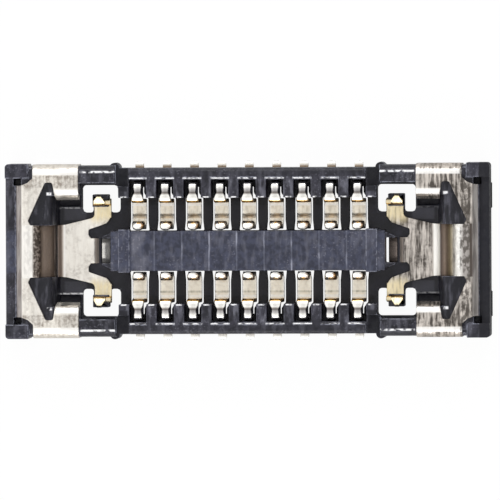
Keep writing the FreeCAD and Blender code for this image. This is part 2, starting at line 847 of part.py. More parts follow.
def export(pieces):
    """Every piece in a file of its own, after a check of the whole model."""
    document.recompute()
    for item in document.Objects:
        if "Invalid" in item.State or "Error" in item.State:
            raise RuntimeError(f"{item.Name} failed: {item.State}")
    for item in document.Objects:
        if item.TypeId in ("PartDesign::Pad", "PartDesign::Pocket") and item.BaseFeature:
            grown = item.Shape.Volume - item.BaseFeature.Shape.Volume
            if (grown > 0) != (item.TypeId == "PartDesign::Pad"):
                raise RuntimeError(f"{item.Name} changes nothing")
    for piece in pieces:
        if piece.Shape.isNull() or not piece.Shape.isValid() or len(piece.Shape.Solids) != 1:
            raise RuntimeError(f"{piece.Label} is not one valid solid")
    os.makedirs("parts", exist_ok=True)
    for piece in pieces:
        piece.Shape.exportStep(f"parts/{piece.Label}.step")


contacts = contact_rows()
fitting_right = end_fitting("end_fitting_right")
bind(fitting_right, ".Placement.Base.x", ROW_END)
fitting_left = copy_of(fitting_right, "end_fitting_left", True)
bind(fitting_left, ".Placement.Base.x", f"-{ROW_END}")
metal = [*contacts, fitting_right, fitting_left]
housing = insert_moulded(housing_form(), metal)
export([housing, *metal])
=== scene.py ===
import bmesh
import bpy
from math import cos, pi, radians, sin, tan
from mathutils import Matrix, Vector


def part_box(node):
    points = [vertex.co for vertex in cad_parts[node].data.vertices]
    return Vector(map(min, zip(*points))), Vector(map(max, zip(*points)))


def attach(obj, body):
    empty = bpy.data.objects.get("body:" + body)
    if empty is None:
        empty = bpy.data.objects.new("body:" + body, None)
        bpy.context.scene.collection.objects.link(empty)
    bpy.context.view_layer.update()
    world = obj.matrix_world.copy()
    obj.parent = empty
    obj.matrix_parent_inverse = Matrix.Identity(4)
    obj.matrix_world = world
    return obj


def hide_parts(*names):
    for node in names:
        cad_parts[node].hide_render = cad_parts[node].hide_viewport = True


# The receptacle half of a low-profile board connector, lying with its mating face up.
# X runs along its rows of contacts, Y across them, and the soldering plane is Z = 0.
# Lengths are in millimetres, and each mesh is brought to the frame's metres at its end.

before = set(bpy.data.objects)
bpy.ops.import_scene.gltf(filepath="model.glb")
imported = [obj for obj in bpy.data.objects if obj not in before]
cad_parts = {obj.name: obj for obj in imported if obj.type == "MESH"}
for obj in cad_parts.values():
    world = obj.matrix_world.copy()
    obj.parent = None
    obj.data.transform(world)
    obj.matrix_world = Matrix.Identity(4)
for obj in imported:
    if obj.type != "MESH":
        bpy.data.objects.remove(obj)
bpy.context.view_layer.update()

# The housing is one moulding of glass-filled liquid-crystal polymer, dark blue-grey.
# It is moulded round the metal, and its edges have the small rounds of a worn tool.

MM = 0.001
PITCH = 0.35
HALF_ROW = 4 * PITCH
EDGE_ROUND = 0.012
CORNER_ROUND = 0.045
# The U-shaped openings, whose corners have the larger round: how far beyond the row and how
# far sideways those lie, and what counts as near them and as upright
OPENING = (0.2, 0.75)
OPENING_SIDE = 0.487
NEAR = 0.003
UPRIGHT = 0.99
BEVEL_SEGMENTS = 2
# The most that a rounding takes of the shortest edge beside it
BEVEL_SHARE = 0.42
# What is closer together than this, or meets at less than this, is one point or one flat
FLAT = 1e-4
FLAT_ANGLE = radians(1)
MOULDED_SHARP = radians(28)
SHADED_SMOOTH = radians(50)

PLASTIC = (0.034, 0.033, 0.047)
PLASTIC_DARK = (0.008, 0.008, 0.012)
PLASTIC_PALE = (0.16, 0.16, 0.195)
ISLAND_BLUE = (0.044, 0.049, 0.080)
PALE_BLUE_GREY = (0.29, 0.30, 0.37)
# The colour of the painted highlights on the plastic's edges
EDGE_HIGHLIGHT = (0.85, 0.85, 0.87)

# Where the moulding's parts and marks lie: outwards is along X from the middle, sideways
# along Y from the centreline, and up along Z. Two numbers are where a mark begins and where
# it is full, and three are where a band begins, where it ends and how soft both ends are.
RAISED_UP = (0.10, 0.45)
ROW_END = (1.60, 1.64)
RIBS_SIDEWAYS = (0.68, 0.91, 0.01)
UNDER_RIBS_SIDEWAYS = (0.575, 0.67, 0.012)
UNDER_RIBS_UP = (0.2, 0.4)
WALL_OUTWARDS = (1.62, 2.14, 0.02)
WALL_SIDEWAYS = (0.82, 0.99, 0.02)
ISLAND_SIDE = (0.262, 0.28)
ISLAND_UP = (0.40, 0.44)
ISLAND_END = (1.30, 1.48, 0.02)
FLOW_LINES_END = (1.27, 1.28)
FLOW_LINE_SHIFT = 1.19
FLOW_LINE_WIDTH = (0.004, 0.014)
END_WALL_OUTWARDS = (2.3, 2.78, 0.05)
END_WALL_SIDE = (0.90, 0.92)
END_WALL_UP = (0.14, 0.20)
OUTER_FACE = (2.94, 2.96)
POSTS_OUTWARDS = (1.525, 1.68, 0.015)
POSTS_SIDE = (0.74, 0.77)
POSTS_UP = (0.3, 0.4)
WALL_FOOT_OUTWARDS = (1.68, 2.13, 0.015)
WALL_FOOT_SIDE = (1.03, 1.05)
ROW_TOP_SIDE = (0.938, 0.95)
LEDGE_OUTWARDS = (2.08, 2.36, 0.02)
LEDGE_SIDEWAYS = (0.39, 0.535, 0.01)
LEDGE_GLINT_OUTWARDS = (2.10, 2.42, 0.02)
LEDGE_GLINT_SIDEWAYS = (0.536, 0.556, 0.004)
WINDOW_GLINT_OUTWARDS = (2.495, 2.555, 0.01)
WINDOW_GLINT_SIDEWAYS = (0.714, 0.75, 0.008)
SHOULDER_OUTWARDS = (1.655, 2.13, 0.01)
SHOULDER_SIDEWAYS = (0.996, 1.022, 0.006)
SHOULDER_UP = (0.50, 0.53)
ROW_TOP_UP = (0.46, 0.50)
POCKET_EDGE = (0.918, 0.934, 0.004)
POCKET_HALF = (0.11, 0.13)
RIB_END = (0.672, 0.694, 0.005)
RIB_START = (0.13, 0.145)


class Shade:
    """A value on its way through a finish. Sums on it add Math nodes; node() adds any other."""

    def __init__(self, tree, socket=None):
        self.tree, self.socket = tree, socket

    def node(self, kind, settings, inputs):
        """Adds a node, and gives its outputs in their order."""
        made = self.tree.nodes.new(kind)
        for name, setting in settings.items():
            if name == "stops":
                for place, colour in setting[1:-1]:
                    made.color_ramp.elements.new(place).color = (*colour, 1)
                for end in (0, -1):
                    made.color_ramp.elements[end].position = setting[end][0]
                    made.color_ramp.elements[end].color = (*setting[end][1], 1)
            else:
                setattr(made, name, setting)
        for name, given in inputs.items():
            if isinstance(given, Shade):
                self.tree.links.new(given.socket, made.inputs[name])
            else:
                made.inputs[name].default_value = given
        return [Shade(self.tree, output) for output in made.outputs]

    def maths(self, operation, *values):
        return self.node("ShaderNodeMath", {"operation": operation}, dict(enumerate(values)))[0]

    def __add__(self, other):
        return self.maths("ADD", self, other)

    def __sub__(self, other):
        return self.maths("SUBTRACT", self, other)

    def __rsub__(self, other):
        return self.maths("SUBTRACT", other, self)

    def __mul__(self, other):
        return self.maths("MULTIPLY", self, other)

    def __abs__(self):
        return self.maths("ABSOLUTE", self)

    def __lt__(self, other):
        return self.maths("LESS_THAN", self, other)

    __radd__ = __add__
    __rmul__ = __mul__

    def larger(self, other):
        return self.maths("MAXIMUM", self, other)

    def smaller(self, other):
        return self.maths("MINIMUM", self, other)

    def to_nearest(self, spacing):
        """The distance to the nearest of places that lie so far apart, one of them at 0."""
        return self.maths("PINGPONG", self, spacing / 2)

    def ramp(self, low, high):
        """0 where the value is at low, 1 where it is at high, smooth between."""
        limits = {"Value": self, "From Min": low, "From Max": high}
        return self.node("ShaderNodeMapRange", {"interpolation_type": "SMOOTHSTEP"}, limits)[0]

    def band(self, low, high, soft):
        """1 between low and high, and 0 beyond the soft edges."""
        return self.ramp(low - soft, low + soft) * (1 - self.ramp(high - soft, high + soft))

    def painted(self, stops):
        """The colours given at places of the value, and their blends between."""
        low, high = stops[0][0], stops[-1][0]
        limits = {"Value": self, "From Min": low, "From Max": high}
        share = self.node("ShaderNodeMapRange", {}, limits)[0]
        settings = {"stops": [((place - low) / (high - low), colour) for place, colour in stops]}
        return self.node("ShaderNodeValToRGB", settings, {"Fac": share})[0]

    def mixed(self, first, second):
        """The first colour where the value is 0, the second where it is 1."""
        colours = [c if isinstance(c, Shade) else (*c, 1) for c in (first, second)]
        inputs = {0: self, 6: colours[0], 7: colours[1]}
        return self.node("ShaderNodeMix", {"data_type": "RGBA"}, inputs)[2]

    def grain(self, scale, stretch=(1, 1, 1), detail=2.0, seed=0.0):
        """Noise over the piece, with so many features to a millimetre."""
        inputs = {"Vector": self.point(stretch, seed), "Scale": scale, "Detail": detail}
        return self.node("ShaderNodeTexNoise", {}, inputs)[0]

    def point(self, stretch=(1, 1, 1), seed=0.0):
        """The place on the piece, in millimetres."""
        place = self.node("ShaderNodeTexCoord", {}, {})[3]
        inputs = {0: place, 1: tuple(share / MM for share in stretch), 2: (seed, seed, seed)}
        return self.node("ShaderNodeVectorMath", {"operation": "MULTIPLY_ADD"}, inputs)[0]

    def axes(self):
        """The X, Y and Z of a vector."""
        return self.node("ShaderNodeSeparateXYZ", {}, {0: self})

    def bumped(self, strength, distance):
        """A normal that follows the value as a height."""
        inputs = {"Height": self, "Strength": strength, "Distance": distance * MM}
        return self.node("ShaderNodeBump", {}, inputs)[0]


def new_finish(name):
    """An empty material, and the start of its maths."""
    finish = bpy.data.materials.new(name)
    finish.use_nodes = True
    finish.node_tree.nodes.clear()
    return finish, Shade(finish.node_tree)


def surface(start, inputs):
    """Ends a finish with a shader that takes what is given."""
    shader = start.node("ShaderNodeBsdfPrincipled", {}, inputs)[0]
    start.node("ShaderNodeOutputMaterial", {}, {"Surface": shader})


def piece_from_form(name, form, finishes, node):
    """Makes a piece of a form in millimetres, which stands for a CAD node on the body."""
    bmesh.ops.scale(form, vec=(MM, MM, MM), verts=form.verts)
    mesh = bpy.data.meshes.new(name)
    form.to_mesh(mesh)
    form.free()
    piece = bpy.data.objects.new(name, mesh)
    bpy.context.scene.collection.objects.link(piece)
    for finish in finishes:
        mesh.materials.append(finish)
    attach(piece, "root")
    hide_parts(node)
    return piece


def rounded_copy(node, round_at, sharp_angle, edge_finish, reshape=None):
    """A CAD node's form in millimetres, its flats joined up, reshaped, and its edges rounded."""
    form = bmesh.new()
    form.from_mesh(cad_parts[node].data)
    bmesh.ops.scale(form, vec=(1 / MM,) * 3, verts=form.verts)
    bmesh.ops.remove_doubles(form, verts=form.verts, dist=FLAT)
    low, high = [[pick(v.co[k] for v in form.verts) for k in range(3)] for pick in (min, max)]
    above = [edge for edge in form.edges if max(end.co.z for end in edge.verts) > FLAT]
    bmesh.ops.dissolve_limit(form, angle_limit=FLAT_ANGLE, verts=form.verts, edges=above)
    if reshape:
        reshape(form)
    weight = form.edges.layers.float.new("bevel_weight_edge")
    for edge in form.edges:
        if len(edge.link_faces) == 2 and edge.calc_face_angle(0) > sharp_angle:
            room = min(near.calc_length() for end in edge.verts for near in end.link_edges)
            edge[weight] = min(round_at(edge), BEVEL_SHARE * room) / CORNER_ROUND
    rough = bpy.data.meshes.new(node + "_rough")
    form.to_mesh(rough)
    form.free()
    rough.materials.append(None)
    rough.materials.append(None)
    blank = bpy.data.objects.new(node + "_blank", rough)
    bpy.context.scene.collection.objects.link(blank)
    bevel = blank.modifiers.new("edges", "BEVEL")
    bevel.width = CORNER_ROUND
    bevel.segments = BEVEL_SEGMENTS
    bevel.limit_method = "WEIGHT"
    bevel.use_clamp_overlap = False
    bevel.material = edge_finish
    depsgraph = bpy.context.evaluated_depsgraph_get()
    rounded = bpy.data.meshes.new_from_object(blank.evaluated_get(depsgraph))
    bpy.data.objects.remove(blank)
    form = bmesh.new()
    form.from_mesh(rounded)
    bpy.data.meshes.remove(rounded)
    bmesh.ops.dissolve_degenerate(form, dist=FLAT, edges=form.edges)
    for vert in form.verts:
        vert.co = [min(max(vert.co[k], low[k]), high[k]) for k in range(3)]
    return form


def within(number, span):
    return span[0] < number < span[1]


def moulding_round(edge):
    """The radius of an edge of the moulding: larger at the corners of the U-shaped openings."""
    first, second = (end.co for end in edge.verts)
    upright = abs((second - first).normalized().z) > UPRIGHT
    beyond_row, sideways = abs(first.x) - HALF_ROW, abs(first.y)
    beside = within(beyond_row, OPENING) and abs(sideways - OPENING_SIDE) < NEAR
    return CORNER_ROUND if upright and beside else EDGE_ROUND


def smooth_faces(piece, angle):
    """Shades a piece smooth, except over its sharp edges."""
    for face in piece.data.polygons:
        face.use_smooth = True
    form = bmesh.new()
    form.from_mesh(piece.data)
    for edge in form.edges:
        edge.smooth = len(edge.link_faces) == 2 and edge.calc_face_angle(0) < angle
    form.to_mesh(piece.data)
    form.free()
    normals = piece.modifiers.new("face_normals", "WEIGHTED_NORMAL")
    normals.keep_sharp = True


def plastic(name, wear_and_light):
    """Glass-filled plastic: cloudy, flecked with fibre ends, with painted shade and highlights,
    and paler where an edge is rubbed and painted with a highlight.
    """
    finish, start = new_finish(name)
    x, y, z = start.point().axes()
    outwards, sideways = abs(x), abs(y)
    raised = z.ramp(*RAISED_UP)
    along_row = 1 - outwards.ramp(*ROW_END)
    right_half = x.ramp(-0.1, 0.1)
    from_contact = x.to_nearest(PITCH)

    # The moulding's own tone, with painted shade on the wide walls and a painted highlight on the
    # island's left end
    cloud = start.grain(3.5, detail=3.0).ramp(0.38, 0.62)
    mottle = start.grain(13.0, detail=4.0, seed=3.0).ramp(0.40, 0.62)
    flow = start.grain(15.0, stretch=(1, 0.25, 1), detail=4.0, seed=5.0).ramp(0.46, 0.70)
    fleck = start.grain(38.0, detail=1.0, seed=7.0).ramp(0.6, 0.7)
    ribs = sideways.band(*RIBS_SIDEWAYS) * along_row * raised
    # The wide walls are darkened, more so towards the right where the light is dimmer: painted
    # shade
    walls = sideways.band(*WALL_SIDEWAYS) * outwards.band(*WALL_OUTWARDS) * raised
    walls = walls * (0.75 + 0.25 * x.ramp(-1, 1))
    on_island = (1 - sideways.ramp(*ISLAND_SIDE)) * z.ramp(*ISLAND_UP)
    # The island's left end is made paler: a painted highlight
    island_end = on_island * outwards.band(*ISLAND_END) * (1 - x.ramp(-0.2, 0.2))
    tone = (0.1 + 0.5 * mottle + 0.4 * cloud).mixed(PLASTIC_DARK, PLASTIC)
    tone = (walls * (1 - 0.75 * mottle)).mixed(tone, PLASTIC_DARK)
    tone = (on_island * (0.45 + 0.45 * mottle + 0.1 * cloud)).mixed(tone, ISLAND_BLUE)
    pale = 0.5 * fleck * cloud + (0.3 + 0.35 * ribs) * flow + 0.5 * island_end * cloud
    tone = (pale * raised).mixed(tone, PLASTIC_PALE)

    # The lines that the flowing plastic left across the island
    from_line = (x + FLOW_LINE_SHIFT).to_nearest(PITCH)
    lines = (1 - from_line.ramp(*FLOW_LINE_WIDTH)) * on_island
    lines = lines * (1 - outwards.ramp(*FLOW_LINES_END))
    tone = (0.85 * lines * (0.2 + 0.8 * flow)).mixed(tone, PALE_BLUE_GREY)

    # Painted shade where the plastic lies low or is turned away from the light
    tone = (0.45 * (1 - raised)).mixed(tone, PLASTIC_DARK)
    under_ribs = sideways.band(*UNDER_RIBS_SIDEWAYS) * along_row * (1 - z.ramp(*UNDER_RIBS_UP))
    end_wall = outwards.band(*END_WALL_OUTWARDS) * (1 - sideways.ramp(*END_WALL_SIDE))
    end_wall = end_wall * z.ramp(*END_WALL_UP)
    right_end = x.ramp(*OUTER_FACE)
    posts = outwards.band(*POSTS_OUTWARDS) * sideways.ramp(*POSTS_SIDE) * z.ramp(*POSTS_UP)
    wall_foot = outwards.band(*WALL_FOOT_OUTWARDS) * sideways.ramp(*WALL_FOOT_SIDE)
    row_top = sideways.ramp(*ROW_TOP_SIDE) * along_row
    shadowed = 0.3 * row_top + 0.85 * under_ribs + 0.95 * right_end
    shadowed = shadowed + 0.9 * end_wall * (1 - 0.5 * flow) + 0.9 * posts + 0.7 * wall_foot
    ledge = outwards.band(*LEDGE_OUTWARDS) * sideways.band(*LEDGE_SIDEWAYS)
    tone = shadowed.mixed(tone, PLASTIC_DARK)
    # Painted highlight on the ledge, and painted reflections in streaks on the end wall
    tone = (0.22 * ledge + 0.18 * end_wall * flow).mixed(tone, PLASTIC_PALE)

    # Painted highlights on the edges and glints that catch the light
    shoulder = sideways.band(*SHOULDER_SIDEWAYS) * outwards.band(*SHOULDER_OUTWARDS)
    shoulder = shoulder * z.ramp(*SHOULDER_UP)
    pocket_edge = sideways.band(*POCKET_EDGE) * (1 - from_contact.ramp(*POCKET_HALF))
    rib_end = sideways.band(*RIB_END) * from_contact.ramp(*RIB_START)
    highlit_edges = shoulder + (pocket_edge + rib_end) * along_row * z.ramp(*ROW_TOP_UP)
    window_glint = outwards.band(*WINDOW_GLINT_OUTWARDS)
    window_glint = window_glint * sideways.band(*WINDOW_GLINT_SIDEWAYS)
    ledge_glint = outwards.band(*LEDGE_GLINT_OUTWARDS) * sideways.band(*LEDGE_GLINT_SIDEWAYS)
    ledge_glint = ledge_glint * (0.9 - 0.55 * y.ramp(-0.1, 0.1)) * (1 - 0.7 * right_half)
    glints = highlit_edges + window_glint + ledge_glint
    tone = (glints * start.grain(16.0, seed=8.0).ramp(0.34, 0.56)).mixed(tone, EDGE_HIGHLIGHT)
    if wear_and_light:
        # Rubbed wear on the rounded edges, together with a painted highlight that is strongest
        # high up and left off the right end
        rubbed = start.grain(20.0, detail=3.0, seed=1.0).ramp(0.36, 0.62)
        rubbed = rubbed * (0.08 + 0.5 * raised) * (1 - right_end)
        tone = (rubbed * (1 - 0.8 * ribs) * (1 - highlit_edges)).mixed(tone, PALE_BLUE_GREY)
    surface(start, {
        "Base Color": tone,
        "Roughness": 0.3 + 0.16 * mottle + 0.3 * (right_end + posts),
        "Specular IOR Level": 0.3,
        "Normal": (mottle + 0.5 * fleck + 0.6 * flow).bumped(0.3, 0.005),
    })
    return finish


housing_form = rounded_copy("housing", moulding_round, MOULDED_SHARP, edge_finish=1)
finishes = plastic("moulded_plastic", wear_and_light=False), plastic("rubbed_highlit_plastic", wear_and_light=True)
housing = piece_from_form("housing_moulding", housing_form, finishes, "housing")
smooth_faces(housing, SHADED_SMOOTH)

# Each signal contact is a strip of copper alloy, stamped, plated with gold and bent.
# A solder tail and an outer hook hold it in the wall, and a springy arm faces the island.

STRIP = 0.05
# The radius of the strip's corners, as a share of half its thickness: low down, where it
# keeps the edge of the stamping, and above that, where bending has worn it
STAMPED_ROUND = 0.22
FORMED_ROUND = 0.8
FORMED_ABOVE = 0.3
# How the strip's ends are rounded off: over what length, and to what share of its size
END_LENGTH = 0.05
END_WIDTH = 0.45
END_THICKNESS = 0.35
CORNER_POINTS = 3
LINE_STEP = 0.016
BEND_STEP = radians(12)
# The most that a bend takes of a straight run beside it
BEND_SHARE = 0.49
STRIP_SMOOTH = radians(60)

# Y, Z and bend radius of the middle of the strip, and its width there, from the tail inwards.
# The arm dips under its petal, and less so in the lower row.
DIP, SHALLOW_DIP = 0.042, 0.055
CONTACT_LINE = (
    (1.138, 0.025, 0.0, 0.11),
    (0.853, 0.025, 0.035, 0.11),
    (0.853, 0.494, 0.108, 0.112),
    (0.752, 0.494, 0.0, 0.096),
    (0.636, 0.494, 0.108, 0.158),
    (0.636, 0.100, 0.0, 0.168),
    (0.636, 0.057, 0.03, 0.184),
    (0.520, 0.057, 0.0, 0.188),
    (0.475, 0.057, 0.03, 0.188),
    (0.437, DIP, 0.03, 0.188),
    (0.399, 0.057, 0.03, 0.188),
    (0.350, 0.057, 0.0, 0.184),
    (0.292, 0.057, 0.03, 0.168),
    (0.318, 0.200, 0.0, 0.158),
    (0.362, 0.338, 0.05, 0.158),
    (0.268, 0.405, 0.0, 0.136),
)

# Where the contact's parts and marks lie: sideways from the centreline, upwards, or across
# the strip, in shares of the pitch
FOOT_UP = (0.1, 0.2)
FOOT_EDGES = (0.19, 0.25)
STAMPED_EDGE = (0.245, 0.262)
OUTER_BEND = (0.612, 0.640, 0.008)
BRIGHT_STRIP = (0.568, 0.603, 0.006)
GREY_BAND = (0.515, 0.54, 0.012)
DIP_BAND = (0.424, 0.448, 0.014)
DIP_EDGES = (0.10, 0.24)
HOOK_UP = (0.28, 0.34)
PETAL_SIDE = (0.40, 0.42)
PETAL_UP = (0.28, 0.32)
SHADED_HALF = (0.52, 0.64)
RIM = (0.366, 0.42, 0.006)
RIM_UP = (0.16, 0.22)
RISING_SIDE = (0.41, 0.43)
RISING_UP = (0.11, 0.33, 0.02)
TAIL_SIDE = (1.0, 1.02)

GOLD_PALE = (0.95, 0.88, 0.75)
GOLD_DEEP_SHADE = (0.74, 0.44, 0.13)
GOLD_SHADE = (0.22, 0.13, 0.06)
GOLD_HIGHLIGHT = (0.97, 0.95, 0.90)
TIN = (0.66, 0.60, 0.50)
GREY_SHADE = (0.36, 0.34, 0.27)
# Painted highlights and shade at distances from the centreline: on the hook's bends, and on the
# solder tail, darker beside the wall
HOOK_LIGHT_AND_SHADE = (
    (0.600, (0.20, 0.11, 0.03)),
    (0.618, (0.36, 0.19, 0.05)),
    (0.636, (0.90, 0.62, 0.26)),
    (0.652, GOLD_HIGHLIGHT),
    (0.712, GOLD_HIGHLIGHT),
    (0.728, (0.42, 0.39, 0.36)),
    (0.742, (0.16, 0.14, 0.13)),
    (0.760, (0.40, 0.38, 0.37)),
    (0.790, (0.62, 0.60, 0.59)),
    (0.806, GOLD_HIGHLIGHT),
    (0.900, GOLD_HIGHLIGHT),
)
TAIL_LIGHT_AND_SHADE = (
    (1.050, (0.20, 0.11, 0.07)),
    (1.075, (0.55, 0.44, 0.33)),
    (1.095, (0.93, 0.90, 0.84)),
    (1.140, (0.97, 0.96, 0.94)),
)


def bent_line(corners):
    """Points along a line with rounded corners, each with the number of the corner it is at.

    Between two corners the number goes up by the share of the way.
    """
    points = []
    places = [Vector(corner[:2]) for corner in corners]
    for i, here in enumerate(places):
        radius = corners[i][2]
        if i in (0, len(places) - 1) or radius == 0:
            points.append((here, float(i)))
            continue
        before, after = places[i - 1] - here, places[i + 1] - here
        half = before.angle(after) / 2
        back = min(radius / tan(half), BEND_SHARE * before.length, BEND_SHARE * after.length)
        first, last = here + before.normalized() * back, here + after.normalized() * back
        count = max(3, int((pi - 2 * half) / BEND_STEP))
        for k in range(count + 1):
            t = k / count
            bend = first * (1 - t) ** 2 + here * (2 * t * (1 - t)) + last * t ** 2
            points.append((bend, i + (t - 0.5) / 2))
    dense = [points[0]]
    for spot, number in points[1:]:
        previous, earlier = dense[-1]
        pieces = max(1, int((spot - previous).length / LINE_STEP))
        for k in range(1, pieces + 1):
            t = k / pieces
            dense.append((previous.lerp(spot, t), earlier + (number - earlier) * t))
    return dense


def width_at(corners, number):
    """The strip's width, eased between the widths at the corners."""
    i = min(int(number), len(corners) - 2)
    t = number - i
    eased = t * t * (3 - 2 * t)
    return corners[i][3] + (corners[i + 1][3] - corners[i][3]) * eased


def strip_form(corners):
    """Sweeps a rounded strip along its line, with both ends rounded off."""
    line = bent_line(corners)
    total = sum((b[0] - a[0]).length for a, b in zip(line, line[1:]))
    form = bmesh.new()
    rings = []
    gone = 0.0
    for i, (spot, number) in enumerate(line):
        if i:
            gone += (spot - line[i - 1][0]).length
        ahead = line[min(i + 1, len(line) - 1)][0] - line[max(i - 1, 0)][0]
        across = Vector((-ahead.y, ahead.x)).normalized()
        full = min(1.0, min(gone, total - gone) / END_LENGTH)
        taper = max(0.0, 1 - (1 - full) ** 2) ** 0.5
        half_width = width_at(corners, number) / 2 * (END_WIDTH + (1 - END_WIDTH) * taper)
        half_thick = STRIP / 2 * (END_THICKNESS + (1 - END_THICKNESS) * taper)
        corner = half_thick * (STAMPED_ROUND if spot.y < FORMED_ABOVE else FORMED_ROUND)
        ring = []
        for quarter, (side_x, side_t) in enumerate(((1, 1), (-1, 1), (-1, -1), (1, -1))):
            for k in range(CORNER_POINTS):
                angle = (quarter + k / (CORNER_POINTS - 1)) * pi / 2
                x = side_x * (half_width - corner) + corner * cos(angle)
                t = side_t * (half_thick - corner) + corner * sin(angle)
                place = spot + across * t
                ring.append(form.verts.new((x, place.x, place.y)))
        rings.append(ring)
    for ring, following in zip(rings, rings[1:]):
        for k in range(len(ring)):
            after = (k + 1) % len(ring)
            form.faces.new((ring[k], ring[after], following[after], following[k]))
    form.faces.new(rings[0][::-1])
    form.faces.new(rings[-1])
    bmesh.ops.recalc_face_normals(form, faces=form.faces)
    return form


plated_gold, start = new_finish("plated_gold")
x, y, z = start.point().axes()
sideways = abs(y)
upper_row = y.ramp(-0.01, 0.01)
in_pitch = x * (1 / PITCH) + 0.5
across = in_pitch.maths("FRACT", in_pitch)
off_middle = abs(across - 0.5)
low_down = 1 - z.ramp(*FOOT_UP)
rubbed = start.grain(24.0, detail=3.0, seed=11.0).ramp(0.35, 0.7)
scratch = start.grain(13.0, stretch=(1.6, 0.6, 1), detail=3.0, seed=5.0).ramp(0.40, 0.7)
cloud = start.grain(5.0, detail=2.0, seed=13.0).ramp(0.35, 0.65)

# The foot of the arm, and its bend up to the hook
tinned = 0.15 * rubbed + (0.25 + 0.45 * upper_row) * scratch * low_down
tone = tinned.mixed(GOLD_PALE, TIN)
# Painted highlight on the foot's edges
tone = (0.8 * off_middle.ramp(*FOOT_EDGES) * low_down).mixed(tone, GOLD_HIGHLIGHT)
# Above, the hook is painted in bands of highlight and shade across its bends
tone = z.ramp(*HOOK_UP).mixed(tone, sideways.painted(HOOK_LIGHT_AND_SHADE))
# Painted shade in the outer bend down the spring
tone = (0.9 * sideways.band(*OUTER_BEND)).mixed(tone, GOLD_DEEP_SHADE)
# Painted highlight on the bend at the foot of the spring
tone = (0.9 * sideways.band(*BRIGHT_STRIP) * low_down).mixed(tone, GOLD_HIGHLIGHT)
# Painted shade in the dip under the petal, on the upper row only
dip = sideways.band(*DIP_BAND) * low_down * upper_row
dip = dip * (1 - off_middle.ramp(*DIP_EDGES))
tone = (dip * (0.35 + 0.65 * cloud)).mixed(tone, GOLD_SHADE)
# A band of painted shade across the lower row's foot
grey_band = sideways.band(*GREY_BAND) * low_down * (1 - upper_row)
tone = (0.9 * grey_band * (0.4 + 0.6 * scratch)).mixed(tone, GREY_SHADE)

# The petal that touches the plug, painted with a highlight on one half and shade on the other, and
# the arm that rises to it
petal = (1 - sideways.ramp(*PETAL_SIDE)) * z.ramp(*PETAL_UP)
shaded_half = across.ramp(*SHADED_HALF) * (0.5 + 0.5 * cloud)
tone = petal.mixed(tone, shaded_half.mixed(GOLD_HIGHLIGHT, GOLD_SHADE))
# Painted shade on the rim where the arm rises to the petal
rim = sideways.band(*RIM) * z.ramp(*RIM_UP)
tone = (0.6 * rim).mixed(tone, GOLD_SHADE)
rising = (1 - sideways.ramp(*RISING_SIDE)) * z.band(*RISING_UP)
stamped_edge = off_middle.ramp(*STAMPED_EDGE) * low_down

# The solder tail, painted with shade beside the wall and a highlight towards its end, and near
# white as a painted highlight on the upper row
tail = (0.7 * (1 - upper_row)).mixed(sideways.painted(TAIL_LIGHT_AND_SHADE), GOLD_HIGHLIGHT)
tone = sideways.ramp(*TAIL_SIDE).mixed(tone, tail)
surface(start, {
    "Base Color": tone,
    "Metallic": 1 - 0.6 * rising - 0.7 * stamped_edge,
    "Roughness": 0.2 + 0.16 * low_down + 0.08 * rubbed,
    "Normal": (rubbed + 0.6 * scratch).bumped(0.2, 0.004),
})

for node in sorted(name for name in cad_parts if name.startswith("contact_")):
    low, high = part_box(node)
    upper = node.startswith("contact_a")
    line = [(y, SHALLOW_DIP if z == DIP and not upper else z, *rest)
            for y, z, *rest in CONTACT_LINE]
    contact_form = strip_form(line)
    if not upper:
        half_turn = Matrix.Rotation(pi, 3, "Z")
        bmesh.ops.rotate(contact_form, matrix=half_turn, verts=contact_form.verts)
    centre_x = (low.x + high.x) / 2 / MM
    bmesh.ops.translate(contact_form, vec=(centre_x, 0, 0), verts=contact_form.verts)
    contact = piece_from_form("gold_" + node, contact_form, [plated_gold], node)
    smooth_faces(contact, STRIP_SMOOTH)

# Each end fitting is one stamping of nickel-plated copper alloy, folded over the end.
# It shields the end, takes the strain of mating, and carries two gilded power contacts.

SHEET_ROUND = 0.008
ARM_ROUND = 0.004
SHEET_SHARP = radians(40)
# The stamped edge between a power arm and the tab is drawn towards the centreline, by the
# drop at the low point, and from there it comes back, by the rise at the end
CURVE_START, CURVE_LOW, CURVE_END = 1.77, 1.823, 2.033
CURVE_DROP, CURVE_RISE = 0.022, 0.03
# Which points make up that edge: outwards, upwards, and sideways from beside the tab to a
# line that leaves the petal's corner and draws in by half of the way outwards
CURVE_OUTWARDS = (1.76, 2.052)
CURVE_UP = (0.10, 0.19)
CURVE_SIDE, PETAL_CORNER = 0.24, 0.425
# Which edges have the arm's smaller round
ARM_EDGE_OUTWARDS = (1.75, 2.04)
ARM_EDGE_SIDEWAYS = (0.26, 0.43)

NICKEL_BRIGHT = (0.93, 0.90, 0.85)
NICKEL_GREY = (0.36, 0.32, 0.28)
NICKEL_DARK = (0.10, 0.088, 0.078)
LEFT_FLATS = (0.90, 0.86, 0.79)
RIGHT_FLATS = (0.74, 0.68, 0.62)
SLOPE_REFLECTION = (0.58, 0.50, 0.44)
FOOT_SHADE = (0.66, 0.54, 0.47)
DARK_RIDGE = (0.05, 0.038, 0.03)
FOLD_HIGHLIGHT = (1.0, 0.98, 0.95)
GILT = (0.88, 0.76, 0.50)
GILT_SHADE = (0.52, 0.31, 0.09)
